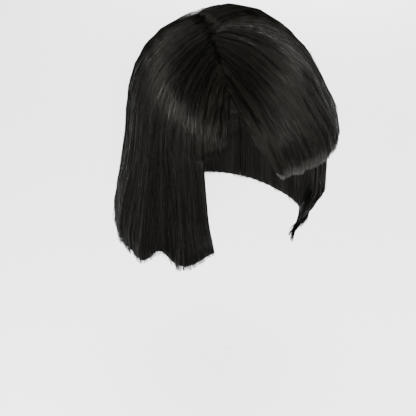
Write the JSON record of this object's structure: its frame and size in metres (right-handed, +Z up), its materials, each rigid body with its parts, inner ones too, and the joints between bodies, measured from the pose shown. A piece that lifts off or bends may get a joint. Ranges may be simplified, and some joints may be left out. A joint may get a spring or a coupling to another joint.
{
  "type": "bob wig",
  "caption": "Straight chin-length bob wig with a right-hand parting, a side-swept fringe and a thin cap, open below and at the face.",
  "frame": {"origin": "top of the cap's inside, where the crown of the head touches it", "axes": "+Z up, -Y the way the face looks, +X the wearer's left"},
  "size_m": [0.2214, 0.2514, 0.2423],
  "materials": {
    "hair": "glossy straight hair, natural off-black",
    "cap": "matt black stretch net with sewn rows of hair"
  },
  "bodies": {
    "root": {"cap": "cap", "hair_left": "hair", "hair_back": "hair", "hair_right": "hair", "temple_lock": "hair", "fringe": "hair"}
  },
  "joints": []
}
